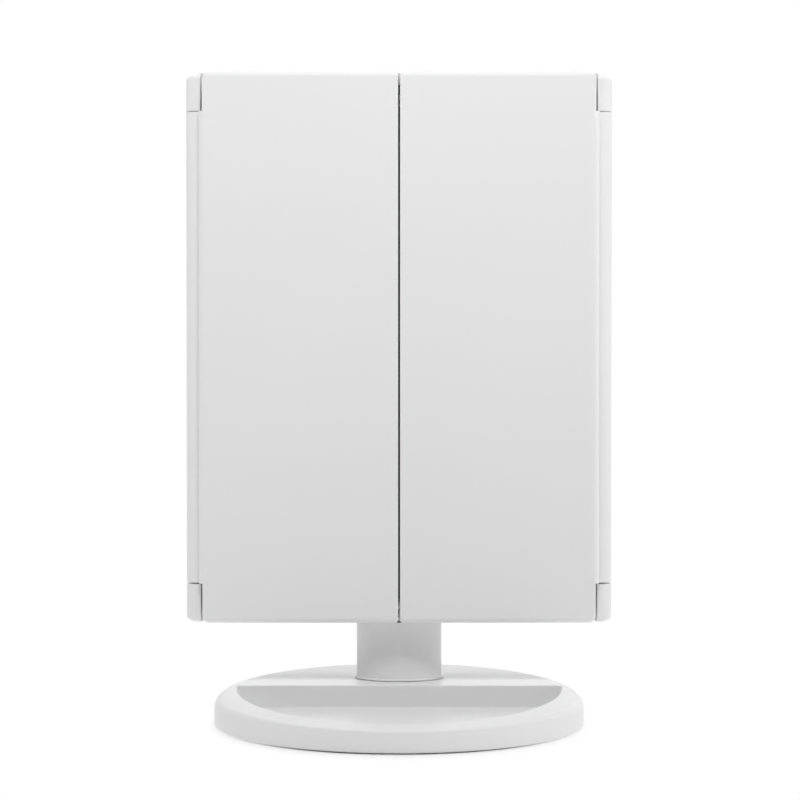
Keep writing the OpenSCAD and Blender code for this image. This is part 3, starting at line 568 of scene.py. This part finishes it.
# A level cut through a door: up the gap's side, across the face, back along the outer side, round the
# hinge barrel (or the room for a corner cap) and along the back with its hollow. h is the height from the
# nearer end.
def doorRing(z, wide, hollow):
    p = door
    h = min(z - p["low"], p["high"] - z)
    front = float(drawnBack(p["roundR"], h))
    d = p["roundR"] * (1 - np.sin(np.linspace(0, math.asin(1 - front / p["roundR"]), 15)))
    left = h - drawnBack(p["roundR"], d)
    gapX = p["gapX"] + drawnBack(p["edgeR"], d) + drawnBack(p["gapCorner"], left)
    turns, r = (p["barrelArc"], p["barrelR"]) if wide else (p["roomArc"], p["roomR"])
    arc = np.radians(np.linspace(*turns, 57))
    arcX, arcY = p["hingeX"] + r * np.cos(arc), p["hingeY"] + r * np.sin(arc)
    if wide:
        sideX = p["sideX"] - drawnBack(p["roundR"], d)
    else:
        sideX = p["capX"] - drawnBack(p["capEdge"], d) - drawnBack(p["capCorner"], left)
        arcX = np.minimum(arcX, sideX[0])
    arcY[-1] = p["back"]
    share = np.array([0.002, 0.008, 0.1, 0.25, 0.4, 0.55, 0.7, 0.85, 0.95, 0.992, 0.998])
    faceX, faceY = gapX[-1] + (sideX[-1] - gapX[-1]) * share, np.full(len(share), p["face"] + front)
    x0, x1 = p["hollowX"]
    deep = p["face"] + p["wall"] if hollow else p["back"]
    xs = [gapX[:1], gapX, faceX, sideX[::-1], [sideX[0]] * 2, arcX, [x1, x1, x0, x0]]
    ys = [[p["back"]], p["face"] + d, faceY, p["face"] + d[::-1], p["wallY"][0 if wide else 1], arcY]
    ys.append([p["back"], deep, deep, p["back"]])
    xs, ys = np.concatenate(xs), np.concatenate(ys)
    return np.stack([xs, ys, np.full(len(xs), z)], -1)


# The door: level cuts stacked from its lower end to the middle, close together where the end is rounded,
# and the same cuts in reverse to its upper end
def doorShell():
    p = door
    middle = (p["high"] - p["low"]) / 2 - 0.5
    ends = [(h, False, False) for h in (0, 0.02, 0.08, 0.2, 0.38, 0.6, 0.9, 1.2, 1.5, p["wall"])]
    ends += [(h, False, True) for h in (p["wall"], 2.1, 2.4, 2.7, 2.9, 3.4, 4.2, 5.4, 9, p["barrelEnd"])]
    ends += [(h, True, True) for h in (p["barrelEnd"], 17.2, 30, 70, middle)]
    rows = [(p["low"] + h, wide, hollow) for h, wide, hollow in ends]
    rows += [(p["high"] - h, wide, hollow) for h, wide, hollow in ends[-2::-1]]
    return np.array([doorRing(*row) for row in rows])


leaf = doorShell()
makePiece("right_leaf", [leaf], "shell", "right_door", ["right_door_shell"])
makePiece("left_leaf", [leaf * [-1, 1, 1]], "shell", "left_door", ["left_door_shell"])

rim = dict(
    hw=86.2, low=40.0, high=272.0, front=18.4, back=24.4, seatX=77.1, seatEnd=4.9, seat=20.4, corner=2.0,
    edgeR=0.5, roomR=5.0, roomArc=(175.4, 81.95), roomEnd=16.3, capR=4.5, capIn=(83.6, 18.8), flatX=83.65,
    flatSoft=0.15, lip=0.15, domeX=5.0, topDome=2.9, topEnd=16.5, topDrop=0.6, lowDome=2.5, lowEnd=16.1,
    lowDrop=0.4,
)


# A level cut through the frame behind the doors: its right half, from the middle of the front to the
# middle of the back, and then the mirror image of that
def rimRing(z, room, seat):
    p = rim
    h = min(z - p["low"], p["high"] - z)
    side = p["hw"] - float(drawnBack(p["corner"], h))
    if room:
        arc = np.radians(np.linspace(*p["roomArc"], 17))
        arcX, arcY = door["hingeX"] + p["roomR"] * np.cos(arc), door["hingeY"] + p["roomR"] * np.sin(arc)
    else:
        arc = np.radians(np.linspace(-90, 0, 17))
        arcX = side - p["edgeR"] + p["edgeR"] * np.cos(arc)
        arcY = p["front"] + p["edgeR"] + p["edgeR"] * np.sin(arc)
    floor = p["seat"] if seat else p["front"]
    x = np.concatenate([[0, p["seatX"], p["seatX"]], arcX, [side, 0]])
    y = np.concatenate([[floor, floor, p["front"]], arcY, [p["back"], p["back"]]])
    x, y = np.concatenate([x, -x[-2:0:-1]]), np.concatenate([y, y[-2:0:-1]])
    return np.stack([x, y, np.full(len(x), z)], -1)


# The frame: level cuts stacked as the door's are, with the seat of the glass and the hinges' room between
# the ends
def rimPlate():
    p = rim
    middle = (p["high"] - p["low"]) / 2 - 0.5
    ends = [(h, False, False) for h in (0, 0.05, 0.2, 0.5, 0.9, 1.4, 2.0, 3.5, p["seatEnd"])]
    ends += [(h, False, True) for h in (p["seatEnd"], p["roomEnd"])]
    ends += [(h, True, True) for h in (p["roomEnd"], middle)]
    rows = [(p["low"] + h, room, seat) for h, room, seat in ends]
    rows += [(p["high"] - h, room, seat) for h, room, seat in ends[-2::-1]]
    return np.array([rimRing(*row) for row in rows])


# A corner cap: a post round the hinge axis with a flat side towards the door: the larger of x and flatX,
# blended over k as (x + flatX + sqrt((x - flatX)2 + k2)) / 2. Its outer end shrinks towards that side in
# a dome.
def cornerCap(side, top):
    p = rim
    axis = np.array([door["hingeX"], door["hingeY"]])
    t = np.radians(np.arange(0, 360, 5.0))
    x = axis[0] + p["capR"] * np.cos(t)
    x = (x + p["flatX"] + np.sqrt((x - p["flatX"]) ** 2 + p["flatSoft"] ** 2)) / 2
    circle = np.stack([x, axis[1] + p["capR"] * np.sin(t)], -1)
    dome, end = (p["topDome"], p["topEnd"]) if top else (p["lowDome"], p["lowEnd"])
    curve = dome * (1 - np.cos(np.radians(np.linspace(0, 90, 12))))
    rounded = end - p["lip"] * (1 - np.sin(np.radians([0, 30, 60, 90])))
    hs = np.concatenate([curve, [3.4, 9.0, end - 1.0], rounded])
    inner, full = np.array(p["capIn"]), axis[0] + p["capR"]
    rings = []
    for h in hs:
        reach = full - p["domeX"] * (1 - math.sqrt(1 - max(0, (dome - h) / dome) ** 2))
        xy = inner + (circle - inner) * (reach - inner[0]) / (full - inner[0])
        xy = axis + (xy - axis) * (1 - drawnBack(p["lip"], end - h) / p["capR"])
        share = 1 - h / end
        z = p["high"] - p["topDrop"] * share - h if top else p["low"] - p["lowDrop"] * share + h
        rings.append(np.column_stack([xy[:, 0] * side, xy[:, 1], np.full(len(xy), z)]))
    return np.array(rings)


caps = [cornerCap(side, top) for side in (-1, 1) for top in (False, True)]
makePiece("frame_rim", [rimPlate()] + caps, "shell", "head", ["front_frame"])

# ---- finishes of the nodes that stay as they come ----
finishes = {
    "inner_plastic": "base_plate battery_box",
    "shell": "rear_cover battery_cover left_door_frame right_door_frame",
    "steel": "base_ballast base_screws neck_screws neck_foot_screws tilt_shaft tilt_nuts tilt_brackets"
    " bracket_screws cover_screws hinge_pins head_magnets left_door_magnet right_door_magnet usb_socket"
    " battery_contacts",
    "bush": "tilt_washers left_door_bushes right_door_bushes",
    "mirror_glass": "centre_mirror left_upper_mirror left_lower_mirror right_door_mirror",
    "lens": "led_windows",
    "board": "led_board_left led_board_right led_board_top control_board usb_board",
    "emitter": "leds",
    "copper": "touch_pad",
    "chip": "control_chips switch_body",
    "cell": "batteries",
    "pad": "base_feet",
    "knob": "switch_knob",
}
for name, members in finishes.items():
    for member in members.split():
        node = nodes[member]
        node.data.materials.clear()
        node.data.materials.append(materials[name])
print("finishes laid on the other nodes")

# ---- floor, light and camera ----
studio = dict(
    floor=30.0, back=0.55, front=0.07, lean=0.12, mirroredFront=0.38, mirroredFrom=-0.4, mirroredOver=1.2,
    dark=0.03, straight=-0.93, straightOver=0.08, darkY=-0.28, darkX=0.3, darkOver=0.1,
    sweepA=0.068, sweepB=0.06, whiteFrom=1.0, whiteTo=1.17, tones=(0.93, 0.95), rough=0.9,
)


# 1 for the camera's own rays, and 1 for what mirrors and glass see
def lightPathShares(tree):
    path = tree.nodes.new("ShaderNodeLightPath")
    other = Wire(tree, path.outputs["Is Glossy Ray"]) + Wire(tree, path.outputs["Is Transmission Ray"])
    return Wire(tree, path.outputs["Is Camera Ray"]), other.clamped()


world = bpy.data.worlds.new("studio")
bpy.context.scene.world = world
world.use_nodes = True
tree = world.node_tree
tree.nodes.clear()
way = tree.nodes.new("ShaderNodeSeparateXYZ")
tree.links.new(tree.nodes.new("ShaderNodeTexCoord").outputs["Generated"], way.inputs[0])
# the light falls off towards the camera and to the left, and mirrors find the camera's side nearly black
wayX, wayY = Wire(tree, way.outputs[0]), Wire(tree, way.outputs[1])
straight = wayY.below(studio["straight"], studio["straightOver"])
direct, mirrored = lightPathShares(tree)
fromFront = studio["front"] + (wayY + 1) * 0.5 * (studio["back"] - studio["front"])
light = fromFront * (1 + wayX * studio["lean"])
bright = wayY.above(studio["mirroredFrom"], studio["mirroredOver"])
seen = studio["mirroredFront"] + bright * (1 - studio["mirroredFront"])
seen = seen + straight * (studio["dark"] - seen)
tone = direct + (1.0 - direct) * (mirrored * seen + (1.0 - mirrored) * light)
glow = tree.nodes.new("ShaderNodeBackground")
glow.inputs["Color"].default_value = (1, 1, 1, 1)
tree.links.new(tone.socket, glow.inputs["Strength"])
tree.links.new(glow.outputs[0], tree.nodes.new("ShaderNodeOutputWorld").inputs[0])

floorMesh = bpy.data.meshes.new("floor")
half = studio["floor"] / 2
corners = [(-half, -half, 0), (half, -half, 0), (half, half, 0), (-half, half, 0)]
floorMesh.from_pydata(corners, [], [(0, 1, 2, 3)])
floor = bpy.data.objects.new("floor", floorMesh)
bpy.context.scene.collection.objects.link(floor)
s = Shade("floor")
mottle = s.noise(3, 2)
low, high = (paint((1, 1, 1), level) for level in studio["tones"])
s.set(Base_Color=s.blend(mottle, low, high), Roughness=studio["rough"], Specular_IOR_Level=0.0)
# the sweep is plain white away from the base and takes the shadow near it; mirrors find it dark before
# the camera
x, y = s.axes()[:2]
away = ((x / studio["sweepA"]) ** 2.0 + (y / studio["sweepB"]) ** 2.0) ** 0.5
share = ((away - studio["whiteFrom"]) / (studio["whiteTo"] - studio["whiteFrom"])).clamped()
inFront = y.below(studio["darkY"], studio["darkOver"])
inMiddle = abs(x).below(studio["darkX"], studio["darkOver"])
white = s.tree.nodes.new("ShaderNodeEmission")
dark = lightPathShares(s.tree)[1] * inFront * inMiddle
s.plug(white.inputs["Color"], s.blend(dark, (1, 1, 1, 1), paint((1, 1, 1), studio["dark"])))
both = s.tree.nodes.new("ShaderNodeMixShader")
s.plug(both.inputs[0], share)
s.tree.links.new(s.skin.outputs[0], both.inputs[1])
s.tree.links.new(white.outputs[0], both.inputs[2])
s.tree.links.new(both.outputs[0], s.out.inputs[0])
floorMesh.materials.append(s.material)

lamps = {  # place, aim, width, height, power, whether mirrors show it
    "top": ((0.05, 0.15, 1.25), (0.02, 0.05, 0.1), 0.5, 0.3, 2.6, False),
    "front": ((0.03, -0.45, 0.85), (0, 0, 0.15), 0.3, 0.16, 3.3, False),
    "back": ((0.0, 1.2, 0.75), (0, 0, 0.05), 1.6, 0.5, 2.4, True),
    "right": ((1.3, -0.25, 0.4), (0, 0, 0.15), 0.7, 0.9, 4.2, False),
    "left": ((-1.3, -0.25, 0.4), (0, 0, 0.15), 0.7, 0.9, 2.0, False),
}
for name, (place, aim, width, height, power, shown) in lamps.items():
    lamp = bpy.data.lights.new(name, "AREA")
    lamp.shape, lamp.size, lamp.size_y, lamp.energy = "RECTANGLE", width, height, power
    holder = bpy.data.objects.new(name, lamp)
    holder.location = place
    holder.rotation_euler = (Vector(aim) - Vector(place)).to_track_quat("-Z", "Y").to_euler()
    holder.visible_camera, holder.visible_glossy = False, shown
    bpy.context.scene.collection.objects.link(holder)

view = dict(place=(0.0004, -0.7932, 0.1620), pitch=0.8, lens=86.16, sensor=36, shiftY=-0.05)
camera = bpy.data.cameras.new("camera")
camera.lens, camera.sensor_width, camera.shift_y = view["lens"], view["sensor"], view["shiftY"]
holder = bpy.data.objects.new("camera", camera)
holder.location = view["place"]
holder.rotation_euler = (math.radians(90 - view["pitch"]), 0, 0)
bpy.context.scene.collection.objects.link(holder)
bpy.context.scene.camera = holder
bpy.context.scene.view_settings.view_transform = "Standard"
print("floor, light and camera set")
